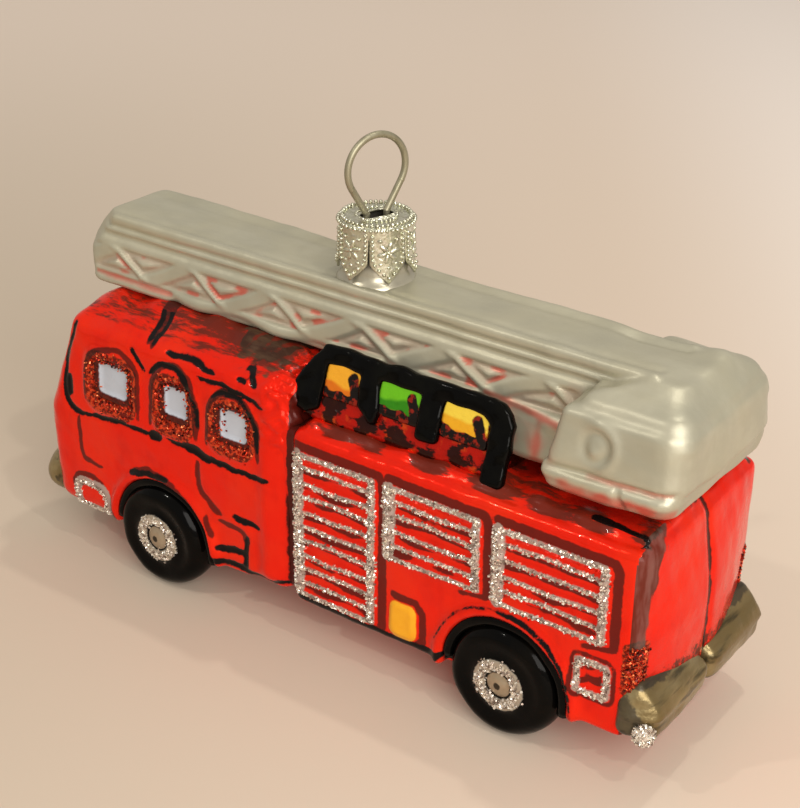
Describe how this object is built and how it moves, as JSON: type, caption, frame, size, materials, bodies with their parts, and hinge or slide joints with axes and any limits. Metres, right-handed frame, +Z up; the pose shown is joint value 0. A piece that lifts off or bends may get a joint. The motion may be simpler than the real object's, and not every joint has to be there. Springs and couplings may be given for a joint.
{
  "type": "fire engine glass ornament",
  "caption": "Blown-glass tree ornament shaped like a fire engine with a roof ladder, under a stamped metal crown cap with a sprung wire hanging loop.",
  "frame": {"origin": "under the neck's axis, on the plane the wheels stand on, at the centre of the ornament's length and width", "axes": "+X towards the tail, so the cab faces -X; +Y towards the engine's right side; +Z up"},
  "size_m": [0.1108, 0.0346, 0.0732],
  "materials": {
    "lacquered_glass": "silvered inside, glossy red lacquer outside with satin silver, black, bronze and yellow hand painting",
    "cap_metal": "bright stamped sheet with beaded edges",
    "wire_metal": "drawn spring wire, satin"
  },
  "bodies": {
    "glass": {"glass_body": "lacquered_glass"},
    "cap": {"cap": "cap_metal"},
    "hanger": {"hanger_wire": "wire_metal"}
  },
  "joints": [
    {"name": "cap_turn", "type": "hinge", "parent": "glass", "child": "cap", "pos_m": [0, 0, 0.0578], "axis": [0, 0, 1], "continuous": true},
    {"name": "wire_lift", "type": "slide", "parent": "cap", "child": "hanger", "axis": [0, 0, 1], "range_m": [0, 0.002]}
  ]
}
